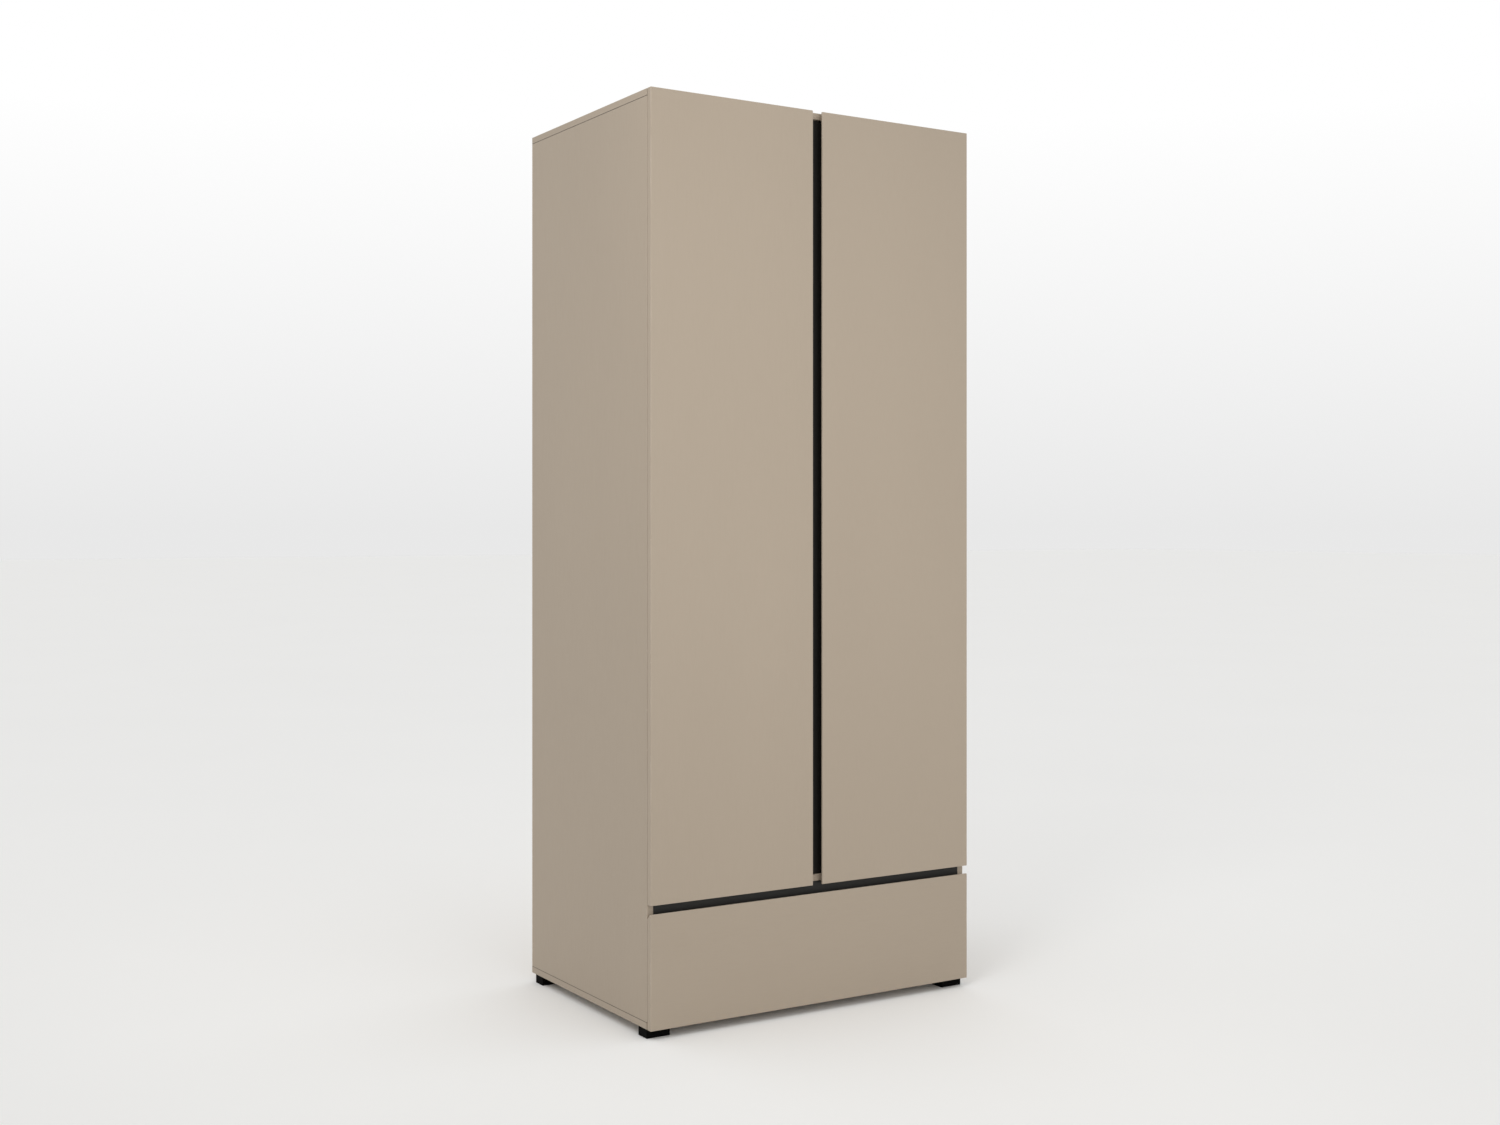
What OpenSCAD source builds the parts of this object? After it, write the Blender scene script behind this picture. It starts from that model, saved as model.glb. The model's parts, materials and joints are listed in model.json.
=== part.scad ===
// Two-door wardrobe with one full-width drawer, flat-pack construction.
// The origin is under the middle of the wardrobe, +Z is up and the doors face -Y.

/* [Overall] */
// Width over the side panels
body_w = 900; // [750:1:1100]
// Height of the body above its feet
body_h = 2110; // [1750:1:2540]
// Depth of the carcass without its fronts
carcass_d = 605; // [500:1:730]

/* [Boards] */
// Thickness of the laminated boards
board_t = 16; // [13:0.5:20]
// Thickness of the fibreboard back and drawer bottom
back_t = 3; // [2.5:0.5:4]
// How far top, bottom and middle panel stand back from the front edges of the sides
panel_setback = 2; // [0:0.5:5]
// How far shelves stand back from the front edges of the sides
shelf_setback = 30; // [25:1:60]
// Gap at each end of a loose shelf
shelf_clearance = 1; // [0.5:0.5:2]

/* [Fronts] */
// Thickness of doors and drawer front
door_t = 16; // [13:0.5:20]
// Gap between the fronts and the carcass
door_gap = 1.5; // [1.5:0.1:3]
// Vertical grip gap between the two doors
centre_gap = 27; // [22:1:34]
// Horizontal grip gap between doors and drawer front
groove_h = 20; // [16:1:26]
// Height of the drawer front
drawer_front_h = 260; // [215:1:320]
// Square land in front of the undercut of a grip edge
grip_land = 5; // [3:0.5:8]
// How far the middle panel sits above the lower door edges
mid_panel_lift = 5; // [0:1:10]

/* [Black trim] */
// Width of the strip behind the gap between the doors
strip_w = 60; // [50:1:90]
// How far the strip stands back from the front edges of the sides
strip_recess = 8; // [4:1:14]
// Height of the rail behind the gap over the drawer
grip_rail_h = 60; // [50:1:65]

/* [Interior] */
// Clear height of the space over the hat shelf
hat_space_h = 300; // [200:5:360]
// Diameter of the hanging rail
rail_d = 25; // [18:1:30]
// Drop from the hat shelf to the middle of the hanging rail
rail_drop = 50; // [40:1:70]

/* [Drawer] */
// Space between the drawer box and the grip rail over it
box_headroom = 23; // [5:1:40]
// Least space behind the drawer box
box_rear_space = 60; // [20:1:110]
// Space under the drawer box
box_lift = 16; // [8:1:20]
// Height of the drawer bottom above the lower edges of the box
bottom_lift = 10; // [8:1:16]
// Space that a runner takes between drawer and side panel
runner_space = 13; // [12.7:0.1:14]

/* [Feet] */
// Height of a foot
foot_h = 22; // [18:1:30]
// Width of a foot
foot_w = 60; // [50:1:80]
// Depth of a foot
foot_d = 40; // [30:1:60]

/* [Wall anchor] */
// Distance between the two wall anchor holes
anchor_spacing = 450; // [370:1:560]
// Diameter of a wall anchor hole
anchor_hole_d = 6; // [5:0.5:8]

/* [Hidden] */
$fn = 48;

// colours
taupe = [0.68, 0.62, 0.55];
black_board = [0.1, 0.1, 0.1];
fibreboard = [0.62, 0.56, 0.48];
zinc = [0.72, 0.73, 0.74];
nickel = [0.78, 0.77, 0.75];
black_plastic = [0.05, 0.05, 0.05];
beech = [0.8, 0.66, 0.45];
clear_soft = [0.85, 0.87, 0.88];

// depth, front to back
door_front_y = -(carcass_d + door_gap + door_t) / 2;
door_back_y = door_front_y + door_t;
front_y = door_back_y + door_gap;
rear_y = front_y + carcass_d;
side_d = carcass_d - back_t;
side_rear_y = front_y + side_d;
mid_y = front_y + side_d / 2;

// height, bottom to top
bottom_top_z = foot_h + board_t;
drawer_top_z = foot_h + drawer_front_h;
door_z = drawer_top_z + groove_h;
mid_z = door_z + mid_panel_lift;
bay_z = mid_z + board_t;
top_z = foot_h + body_h;
ceiling_z = top_z - board_t;
hat_z = ceiling_z - hat_space_h - board_t;
rail_z = hat_z - rail_drop;

// width
side_x = body_w / 2;
inner_x = side_x - board_t;
partition_x = board_t / 2;
door_w = side_x - centre_gap / 2;
door_h = top_z - door_z;
grip_bevel = door_t - grip_land;

// small overshoot of every cutting tool
over = 1;

// loose shelves of the right bay
shelf_count = 4;
shelf_space = (ceiling_z - bay_z - shelf_count * board_t) / (shelf_count + 1);
function shelf_z(i) = bay_z + i * shelf_space + (i - 1) * board_t;

// shelf pins: a peg in the board and a thicker head under the shelf
pin_peg_d = 5;
pin_head_d = 7;
pin_skin = 1;
pin_in = board_t / 2 - pin_skin;
pin_out = 8;
pin_inset = 80;
pin_pitch = 32;
pin_spares = 2;
pin_ys = [front_y + pin_inset, side_rear_y - pin_inset];

// cam fittings: bolt in one board, cam in the other
cam_d = 15;
cam_full_t = 12.5;
cam_skin = 1.5;
cam_t = min(cam_full_t, board_t - cam_skin);
cam_reach = 34;
cam_slot_l = 8;
cam_slot_w = 1.6;
cam_slot_depth = 1.2;
bolt_d = 6;
bolt_neck_d = 4;
bolt_head_d = 6.5;
bolt_full_in = 11;
bolt_skin = 3;
bolt_in = min(bolt_full_in, board_t - bolt_skin);
bolt_bore_d = 8;
bolt_neck_l = 4;
bolt_head_l = 3.5;
dowel_d = 8;
dowel_full_in = 10;
dowel_skin = 4;
dowel_in = min(dowel_full_in, board_t - dowel_skin);
dowel_out = 20;
fitting_inset = 60;
dowel_offset = 32;
cam_ys = [front_y + fitting_inset, side_rear_y - fitting_inset];
dowel_ys = [cam_ys[0] + dowel_offset, cam_ys[1] - dowel_offset];

// dowels between the centre strip and the partition
strip_dowel_count = 4;
strip_dowel_end = 120;
strip_dowel_step = (ceiling_z - bay_z - 2 * strip_dowel_end) / (strip_dowel_count - 1);

// plain wood screws, and the cross recess in every screw head
screw_d = 3.5;
screw_head_d = 7;
screw_head_t = 1.6;
screw_skin = 4;
recess_l_share = 0.55;
recess_w = 1;
recess_depth = 0.9;

// concealed hinges
hinge_count = 4;
hinge_end = 100;
cup_d = 35;
cup_edge = 5;
cup_depth = 11.5;
cup_wall = 1.5;
cup_floor = 1;
cup_rim = 1;
cup_rim_w = 2;
cup_x = cup_edge + cup_d / 2;
cup_ear_w = 15;
cup_ear_h = 60;
cup_screw_x = 9.5;
cup_screw_z = 22.5;
cup_screw_l = 9;
plate_y = 37;
plate_t = 2;
plate_w = 18;
plate_h = 52;
plate_block_t = 5;
plate_block_l = 46;
plate_block_w = 10;
plate_screw_z = 16;
plate_screw_d = 5;
plate_screw_head_d = 9;
plate_screw_l = 11;
arm_w = 16;
arm_wall = 1.2;
arm_h = 12.5;
arm_lift = 2.6;
arm_nose = 7;
arm_l = 72;
arm_screw_d = 5;
arm_screw_head_d = 8;
arm_screw_head_t = 2;
arm_screw_ys = [28, 52];

// drawer
box_z = bottom_top_z + box_lift;
box_top_z = mid_z - grip_rail_h - box_headroom;
box_h = box_top_z - box_z;
box_x = inner_x - runner_space;
// runners come in lengths 50 mm apart, and the box is as long as its runners
runner_length_step = 50;
runner_l = runner_length_step * floor((side_d - box_rear_space) / runner_length_step);
box_rear_y = door_back_y + runner_l;
box_bottom_z = box_z + bottom_lift;
groove_depth = 8;
groove_clearance = 0.2;
box_cam_inset = 35;
box_cam_rise = box_h / 2 - box_cam_inset;
box_back_dowel_zs = [box_bottom_z + box_cam_inset, box_top_z - box_cam_inset];
bottom_half_w = box_x - board_t + groove_depth - groove_clearance;
bottom_front_y = door_back_y - groove_depth + groove_clearance;

// ball-bearing runners, as a section across the travel: u from the side panel, v up
runner_z = box_z + box_h / 2;
runner_front_y = front_y + 4;
runner_middle_short = 20;
runner_t = 1.2;
runner_flange = 1.5;
outer_v = 22.5;
outer_u = 9;
outer_lip = 3;
middle_v = 17;
middle_u0 = 3.2;
middle_u1 = 10.2;
slide_v = 12.5;
slide_u0 = 5.6;
runner_screw_d = 4;
runner_screw_head_d = 8;
runner_screw_head_t = 1.6;
runner_screw_l = 12;
runner_screw_ys = [37, runner_l / 2, runner_l - 60];

// nails through the back panels
nail_d = 1.6;
nail_head_d = 4;
nail_head_t = 0.8;
nail_l = 20;
nail_pitch = 200;
nail_end = 40;
nail_rows = floor((ceiling_z - bay_z - 2 * nail_end) / nail_pitch);
nail_step = (ceiling_z - bay_z - 2 * nail_end) / nail_rows;
mid_nail_xs = [inner_x / 3, 2 * inner_x / 3];

// back panels
back_clearance = 0.5;
back_seam_z = mid_z + board_t / 2;
back_side_x = side_x - back_clearance;

// feet
foot_side_inset = 2;
foot_front_inset = 5;
foot_rear_inset = 18;
foot_screw_spread = 18;
foot_screw_in = 12;
foot_bore_d = 9;
foot_crown_t = 8;
foot_bore_h = foot_h - foot_crown_t;
foot_x = side_x - foot_side_inset - foot_w / 2;
foot_ys = [front_y + foot_front_inset + foot_d / 2, rear_y - foot_rear_inset - foot_d / 2];

// bumpers
bumper_d = 10;
bumper_clearance = 0.4;
bumper_t = door_gap + panel_setback - bumper_clearance;
bumper_inset = 45;

// hanging rail and its sockets
rail_wall = 1.2;
rail_end_gap = 1;
socket_flange_d = 58;
socket_flange_t = 3;
socket_wall = 3;
socket_l = 15;
socket_clearance = 0.2;
socket_screw_z = 22;
rail_end_clearance = socket_flange_t + rail_end_gap;

// wall anchor brackets
bracket_w = 40;
bracket_leg = 34;
bracket_t = 2;
bracket_screw_x = 12;
bracket_screw_y = 18;
anchor_drop = 22;

// ---------- shared helpers ----------

module both_sides() {
    children();
    mirror([1, 0, 0]) children();
}

module block(low, high) {
    translate(low) cube(high - low);
}

module rod(d, from, to) {
    translate([0, 0, from]) cylinder(d = d, h = to - from);
}

// a pan-head screw along +Z, its head seated at z = 0
module pan_screw(d, l, head_d, head_t) {
    difference() {
        union() {
            rod(d, 0, l);
            rod(head_d, -head_t, 0);
        }
        for (turn = [0, 90]) translate([0, 0, -head_t]) rotate([0, 0, turn])
            cube([recess_l_share * head_d, recess_w, 2 * recess_depth], center = true);
    }
}

// ---------- cam and dowel joints ----------
// Each joint is drawn at its face: +Z runs into the board that holds the cam
// and +X points to the side where the cam is pushed in.

module cam_fitting(piece) {
    if (piece == "bolt") {
        neck_z = cam_reach - bolt_head_l / 2 - bolt_neck_l;
        rod(bolt_d, -bolt_in, neck_z);
        rod(bolt_neck_d, neck_z, neck_z + bolt_neck_l);
        rod(bolt_head_d, neck_z + bolt_neck_l, neck_z + bolt_neck_l + bolt_head_l);
    }
    if (piece == "cam") {
        difference() {
            cam_body(cam_d);
            rod(bolt_bore_d, 0, cam_reach + bolt_head_l);
            // cross slot for the screwdriver
            for (turn = [0, 90]) translate([board_t / 2, 0, cam_reach]) rotate([turn, 0, 0])
                cube([2 * cam_slot_depth, cam_slot_l, cam_slot_w], center = true);
        }
    }
    if (piece == "face cut") rod(bolt_d, -bolt_in, over);
    if (piece == "edge cut") {
        rod(bolt_bore_d, -over, cam_reach + bolt_head_l / 2);
        cam_body(cam_d, over);
    }
}

module cam_body(d, beyond = 0) {
    translate([board_t / 2 - cam_t, 0, cam_reach]) rotate([0, 90, 0])
        cylinder(d = d, h = cam_t + beyond);
}

module dowel_fitting(piece) {
    if (piece == "dowel") rod(dowel_d, -dowel_in, dowel_out);
    if (piece == "face cut") rod(dowel_d, -dowel_in, over);
    if (piece == "edge cut") rod(dowel_d, -over, dowel_out);
}

module fitting_row(piece) {
    for (y = cam_ys) translate([0, y, 0]) cam_fitting(piece);
    for (y = dowel_ys) translate([0, y, 0]) dowel_fitting(piece);
}

module bottom_joints(piece) {
    both_sides() translate([-side_x + board_t / 2, 0, bottom_top_z]) fitting_row(piece);
}

module top_joints(piece) {
    both_sides() translate([-side_x + board_t / 2, 0, ceiling_z])
        mirror([0, 0, 1]) fitting_row(piece);
}

module mid_joints(piece) {
    both_sides() translate([-inner_x, 0, mid_z + board_t / 2])
        rotate([0, 90, 0]) fitting_row(piece);
}

module partition_foot_joints(piece) {
    translate([0, 0, bay_z]) fitting_row(piece);
}

module partition_head_joints(piece) {
    translate([0, 0, ceiling_z]) mirror([0, 0, 1]) fitting_row(piece);
}

module grip_rail_joints(piece) {
    both_sides() translate([-inner_x, front_y + board_t / 2, mid_z - grip_rail_h / 2])
        rotate([90, 0, 0]) rotate([0, 90, 0]) {
            cam_fitting(piece);
            for (s = [-1, 1]) translate([0, s * grip_rail_h / 3, 0]) dowel_fitting(piece);
        }
}

module strip_joints(piece) {
    for (i = [0 : strip_dowel_count - 1])
        translate([0, front_y + strip_recess + board_t,
                   bay_z + strip_dowel_end + i * strip_dowel_step])
            rotate([-90, 0, 0]) dowel_fitting(piece);
}

module drawer_joints(piece) {
    both_sides() translate([-box_x + board_t / 2, door_back_y, 0]) {
        for (s = [-1, 1]) {
            translate([0, 0, runner_z + s * box_cam_rise]) rotate([-90, 0, 0])
                cam_fitting(piece);
            translate([0, 0, runner_z + s * box_cam_rise / 3]) rotate([-90, 0, 0])
                dowel_fitting(piece);
        }
    }
}

module drawer_back_joints(piece) {
    both_sides() for (z = box_back_dowel_zs)
        translate([-box_x + board_t, box_rear_y - board_t / 2, z])
            rotate([0, 90, 0]) dowel_fitting(piece);
}

// ---------- shelf pins ----------

// pin along +X, its peg on the negative side of the board face
module shelf_pin() {
    rotate([0, 90, 0]) {
        rod(pin_peg_d, -pin_in, 0);
        rod(pin_head_d, 0, pin_out);
    }
}

module pin_hole() {
    rotate([0, 90, 0]) rod(pin_peg_d, -pin_in, over);
}

module hat_pin_places() {
    for (y = pin_ys) {
        translate([-inner_x, y, hat_z - pin_head_d / 2]) children();
        translate([-partition_x, y, hat_z - pin_head_d / 2]) mirror([1, 0, 0]) children();
    }
}

module shelf_pin_places(rows = [0]) {
    for (i = [1 : shelf_count], y = pin_ys, row = rows) {
        z = shelf_z(i) - pin_head_d / 2 + row * pin_pitch;
        translate([partition_x, y, z]) children();
        translate([inner_x, y, z]) mirror([1, 0, 0]) children();
    }
}

// ---------- hinges ----------

function hinge_z(i) =
    door_z + hinge_end + i * (door_h - 2 * hinge_end) / (hinge_count - 1);

// places of the left hinges: origin on the door's outer edge line at the carcass front
module hinge_places() {
    for (i = [0 : hinge_count - 1]) translate([-side_x, front_y, hinge_z(i)]) children();
}

module hinge_cup() {
    translate([cup_x, -door_gap, 0]) rotate([90, 0, 0]) difference() {
        union() {
            rod(cup_d, 0, cup_depth);
            rod(cup_d + 2 * cup_rim_w, -cup_rim, 0);
            translate([0, -cup_ear_h / 2, -cup_rim]) cube([cup_ear_w, cup_ear_h, cup_rim]);
        }
        rod(cup_d - 2 * cup_wall, -cup_rim - over, cup_depth - cup_floor);
        for (s = [-1, 1]) translate([cup_screw_x, s * cup_screw_z, 0])
            rod(screw_d, -cup_rim - over, over);
    }
}

module hinge_cup_screws() {
    for (s = [-1, 1]) translate([cup_x + cup_screw_x, -door_gap + cup_rim, s * cup_screw_z])
        rotate([90, 0, 0]) pan_screw(screw_d, cup_screw_l, screw_head_d, screw_head_t);
}

module hinge_cup_cut() {
    translate([cup_x, -door_gap, 0]) rotate([90, 0, 0]) {
        rod(cup_d, -over, cup_depth);
        for (s = [-1, 1]) translate([cup_screw_x, s * cup_screw_z, 0])
            rod(screw_d, -over, cup_screw_l - cup_rim);
    }
}

module hinge_plate() {
    translate([board_t, plate_y, 0]) difference() {
        union() {
            block([0, -plate_w / 2, -plate_h / 2], [plate_t, plate_w / 2, plate_h / 2]);
            block([0, -plate_block_l / 2, -plate_block_w / 2],
                  [plate_block_t, plate_block_l / 2, plate_block_w / 2]);
        }
        for (s = [-1, 1]) translate([0, 0, s * plate_screw_z]) rotate([0, 90, 0])
            rod(plate_screw_d, -over, plate_t + over);
    }
}

module hinge_plate_screw_set() {
    for (s = [-1, 1]) translate([board_t + plate_t, plate_y, s * plate_screw_z])
        rotate([0, -90, 0])
            pan_screw(plate_screw_d, plate_screw_l + plate_t, plate_screw_head_d, screw_head_t);
}

module hinge_plate_cut() {
    for (s = [-1, 1]) translate([board_t, plate_y, s * plate_screw_z])
        rotate([0, -90, 0]) rod(plate_screw_d, -over, plate_screw_l);
}

// channel over the plate's block, with its nose inside the hollow cup
module hinge_arm() {
    nose_y = -door_gap - arm_nose;
    difference() {
        block([board_t + arm_lift, nose_y, -arm_w / 2], [board_t + arm_h, arm_l, arm_w / 2]);
        block([board_t, nose_y + arm_wall, -arm_w / 2 + arm_wall],
              [board_t + arm_h - arm_wall, arm_l + over, arm_w / 2 - arm_wall]);
        for (y = arm_screw_ys) translate([board_t + arm_h, y, 0]) rotate([0, -90, 0])
            rod(arm_screw_d, -over, arm_wall + over);
    }
}

module hinge_arm_screw_set() {
    for (y = arm_screw_ys) translate([board_t + arm_h, y, 0]) rotate([0, -90, 0])
        pan_screw(arm_screw_d, arm_h - plate_block_t, arm_screw_head_d, arm_screw_head_t);
}

// ---------- drawer runners ----------

// C-shaped section in u and v, closed at u = from
module channel(from, to, v, wall, web) {
    polygon([
        [from, -v], [to, -v], [to, -v + wall], [from + web, -v + wall],
        [from + web, v - wall], [to, v - wall], [to, v], [from, v]
    ]);
}

// draws a left runner section along +Y from the given front
module runner_length(front, l) {
    translate([-inner_x, front + l, runner_z]) rotate([90, 0, 0]) linear_extrude(l) children();
}

module left_runner_rail() {
    difference() {
        runner_length(runner_front_y, runner_l) {
            channel(0, outer_u, outer_v, runner_t, runner_t);
            for (s = [-1, 1]) translate([outer_u - runner_t / 2, s * (outer_v - outer_lip / 2)])
                square([runner_t, outer_lip], center = true);
        }
        runner_rail_screw_places() rod(runner_screw_d, -over, runner_t + over);
    }
}

module runner_rail_screw_places() {
    for (y = runner_screw_ys) translate([-inner_x + runner_t, runner_front_y + y, runner_z])
        rotate([0, -90, 0]) children();
}

module left_runner_middle() {
    runner_length(runner_front_y, runner_l - runner_middle_short)
        channel(middle_u0, middle_u1, middle_v, runner_flange, runner_t);
}

module left_runner_slide() {
    difference() {
        runner_length(runner_front_y, runner_l - runner_middle_short)
            translate([runner_space, 0]) mirror([1, 0])
                channel(0, runner_space - slide_u0, slide_v, runner_flange, runner_t);
        runner_slide_screw_places() rod(runner_screw_d, -over, runner_t + over);
    }
}

module runner_slide_screw_places() {
    for (y = runner_screw_ys) translate([-box_x - runner_t, runner_front_y + y, runner_z])
        rotate([0, 90, 0]) children();
}

module runner_screw() {
    pan_screw(runner_screw_d, runner_screw_l, runner_screw_head_d, runner_screw_head_t);
}

// ---------- back nails ----------

// nail along -Y into the board, its head flush with the back panel's outer face
module nail() {
    translate([0, rear_y, 0]) rotate([90, 0, 0]) {
        rod(nail_d, 0, nail_l);
        rod(nail_head_d, 0, nail_head_t);
    }
}

module upper_nail_column(x) {
    for (i = [0 : nail_rows]) translate([x, 0, bay_z + nail_end + i * nail_step]) nail();
}

module side_nails() {
    both_sides() {
        upper_nail_column(-side_x + board_t / 2);
        for (z = [bottom_top_z + nail_end, mid_z - nail_end])
            translate([-side_x + board_t / 2, 0, z]) nail();
    }
}

module partition_nails() {
    both_sides() upper_nail_column(-board_t / 4);
}

module mid_nails() {
    both_sides() for (x = mid_nail_xs, z = [board_t / 4, 3 * board_t / 4])
        translate([-x, 0, mid_z + z]) nail();
}

// ---------- carcass ----------

module left_side() {
    difference() {
        block([-side_x, front_y, bottom_top_z], [-inner_x, side_rear_y, ceiling_z]);
        bottom_joints("edge cut");
        top_joints("edge cut");
        mid_joints("face cut");
        grip_rail_joints("face cut");
        hinge_places() hinge_plate_cut();
        runner_rail_screw_places() rod(runner_screw_d, 0, runner_screw_l);
        side_nails();
    }
}

module side_panel_left() {
    color(taupe) difference() {
        left_side();
        hat_pin_places() pin_hole();
        socket_places() socket_screws();
    }
}

module side_panel_right() {
    color(taupe) difference() {
        mirror([1, 0, 0]) left_side();
        shelf_pin_places([-pin_spares : pin_spares]) pin_hole();
    }
}

module top_panel() {
    color(taupe) difference() {
        block([-side_x, front_y + panel_setback, ceiling_z], [side_x, rear_y, top_z]);
        top_joints("face cut");
        partition_head_joints("face cut");
        bracket_places() bracket_screws();
    }
}

module bottom_panel() {
    color(taupe) difference() {
        block([-side_x, front_y + panel_setback, foot_h], [side_x, rear_y, bottom_top_z]);
        bottom_joints("face cut");
        foot_places() foot_screw_set();
    }
}

module mid_panel() {
    color(taupe) difference() {
        block([-inner_x, front_y + panel_setback, mid_z], [inner_x, side_rear_y, bay_z]);
        mid_joints("edge cut");
        partition_foot_joints("face cut");
        mid_nails();
    }
}

module partition() {
    color(taupe) difference() {
        block([-partition_x, front_y + strip_recess + board_t, bay_z],
              [partition_x, side_rear_y, ceiling_z]);
        partition_foot_joints("edge cut");
        partition_head_joints("edge cut");
        strip_joints("edge cut");
        hat_pin_places() pin_hole();
        shelf_pin_places([-pin_spares : pin_spares]) pin_hole();
        socket_places() socket_screws();
        partition_nails();
    }
}

module centre_strip() {
    color(black_board) difference() {
        translate([-strip_w / 2, front_y + strip_recess, bay_z])
            cube([strip_w, board_t, ceiling_z - bay_z]);
        strip_joints("face cut");
    }
}

module grip_rail() {
    color(black_board) difference() {
        block([-inner_x, front_y, mid_z - grip_rail_h], [inner_x, front_y + board_t, mid_z]);
        grip_rail_joints("edge cut");
    }
}

// ---------- shelves ----------

module loose_shelf(x0, x1, z) {
    color(taupe) block([x0 + shelf_clearance, front_y + shelf_setback, z],
                       [x1 - shelf_clearance, side_rear_y - shelf_clearance, z + board_t]);
}

module hat_shelf() {
    loose_shelf(-inner_x, -partition_x, hat_z);
}

module shelf(i) {
    loose_shelf(partition_x, inner_x, shelf_z(i));
}

module shelf_pins() {
    color(nickel) {
        hat_pin_places() shelf_pin();
        shelf_pin_places() shelf_pin();
    }
}

// ---------- hanging rail ----------

// origin on the board face, +Z along the rail into the bay
module socket_places() {
    translate([-inner_x, mid_y, rail_z]) rotate([0, 90, 0]) children();
    translate([-partition_x, mid_y, rail_z]) rotate([0, -90, 0]) children();
}

module hanging_rail() {
    color(nickel) difference() {
        translate([0, mid_y, rail_z]) rotate([0, 90, 0])
            rod(rail_d, -inner_x + rail_end_clearance, -partition_x - rail_end_clearance);
        translate([0, mid_y, rail_z]) rotate([0, 90, 0])
            rod(rail_d - 2 * rail_wall, -inner_x, 0);
    }
}

module rail_sockets() {
    color(nickel) socket_places() difference() {
        union() {
            rod(socket_flange_d, 0, socket_flange_t);
            rod(rail_d + 2 * (socket_wall + socket_clearance), 0, socket_l);
        }
        rod(rail_d + 2 * socket_clearance, socket_flange_t, socket_l + over);
        for (s = [-1, 1]) translate([s * socket_screw_z, 0, 0])
            rod(screw_d, -over, socket_flange_t + over);
    }
}

module socket_screws() {
    socket_screw_l = board_t / 2 + socket_flange_t;
    for (s = [-1, 1]) translate([s * socket_screw_z, 0, socket_flange_t]) mirror([0, 0, 1])
        pan_screw(screw_d, socket_screw_l, screw_head_d, screw_head_t);
}

module rail_socket_screws() {
    color(zinc) socket_places() socket_screws();
}

// ---------- back ----------

module back_sheet(low_x, high_x, low_z, high_z) {
    color(fibreboard) difference() {
        block([low_x, side_rear_y, low_z], [high_x, rear_y, high_z]);
        side_nails();
        partition_nails();
        mid_nails();
        for (s = [-1, 1]) translate([s * anchor_spacing / 2, rear_y, ceiling_z - anchor_drop])
            rotate([90, 0, 0]) rod(anchor_hole_d, -over, back_t + over);
    }
}

module back_panel_left() {
    back_sheet(-back_side_x, -back_clearance / 2, back_seam_z + back_clearance / 2, ceiling_z);
}

module back_panel_right() {
    back_sheet(back_clearance / 2, back_side_x, back_seam_z + back_clearance / 2, ceiling_z);
}

module back_panel_lower() {
    back_sheet(-back_side_x, back_side_x, bottom_top_z, back_seam_z - back_clearance / 2);
}

module back_nails() {
    color(zinc) {
        side_nails();
        partition_nails();
        mid_nails();
    }
}

// ---------- feet ----------

module foot_place(s, y) {
    translate([s * foot_x, y, 0]) children();
}

module foot_places() {
    for (s = [-1, 1], y = foot_ys) foot_place(s, y) children();
}

module foot_screw_set() {
    for (s = [-1, 1]) translate([s * foot_screw_spread, 0, foot_bore_h])
        pan_screw(screw_d, foot_h - foot_bore_h + foot_screw_in, screw_head_d, screw_head_t);
}

module foot(s, y) {
    color(black_plastic) foot_place(s, y) difference() {
        translate([-foot_w / 2, -foot_d / 2, 0]) cube([foot_w, foot_d, foot_h]);
        for (k = [-1, 1]) translate([k * foot_screw_spread, 0, 0]) {
            rod(screw_d, 0, foot_h + over);
            rod(foot_bore_d, -over, foot_bore_h);
        }
    }
}

module foot_screws() {
    color(zinc) foot_places() foot_screw_set();
}

// ---------- carcass fittings ----------

module carcass_joints(piece) {
    bottom_joints(piece);
    top_joints(piece);
    mid_joints(piece);
    partition_foot_joints(piece);
    partition_head_joints(piece);
    grip_rail_joints(piece);
}

module cam_locks() {
    color(zinc) carcass_joints("cam");
}

module cam_bolts() {
    color(zinc) carcass_joints("bolt");
}

module dowels() {
    color(beech) {
        carcass_joints("dowel");
        strip_joints("dowel");
    }
}

module hinge_plates() {
    color(nickel) both_sides() hinge_places() hinge_plate();
}

module hinge_plate_screws() {
    color(nickel) both_sides() hinge_places() hinge_plate_screw_set();
}

module hinge_arms() {
    color(nickel) both_sides() hinge_places() hinge_arm();
}

module hinge_arm_screws() {
    color(nickel) both_sides() hinge_places() hinge_arm_screw_set();
}

module runner_rail_left() {
    color(zinc) left_runner_rail();
}

module runner_rail_right() {
    color(zinc) mirror([1, 0, 0]) left_runner_rail();
}

module runner_rail_screws() {
    color(zinc) both_sides() runner_rail_screw_places() runner_screw();
}

// ---------- wall anchor brackets ----------

// origin where the bracket's two outer faces meet, under the top panel at the back
module bracket_places() {
    for (s = [-1, 1]) translate([s * anchor_spacing / 2, side_rear_y, ceiling_z]) children();
}

module bracket_screws() {
    for (s = [-1, 1]) translate([s * bracket_screw_x, -bracket_screw_y, -bracket_t])
        pan_screw(screw_d, board_t - screw_skin + bracket_t, screw_head_d, screw_head_t);
}

module wall_brackets() {
    color(zinc) bracket_places() difference() {
        union() {
            block([-bracket_w / 2, -bracket_leg, -bracket_t], [bracket_w / 2, 0, 0]);
            block([-bracket_w / 2, -bracket_t, -bracket_leg], [bracket_w / 2, 0, 0]);
        }
        for (s = [-1, 1]) translate([s * bracket_screw_x, -bracket_screw_y, 0])
            rod(screw_d, -bracket_t - over, over);
        translate([0, 0, -anchor_drop]) rotate([90, 0, 0])
            rod(anchor_hole_d, -over, bracket_t + over);
    }
}

module wall_bracket_screws() {
    color(zinc) bracket_places() bracket_screws();
}

// ---------- doors ----------

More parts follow.
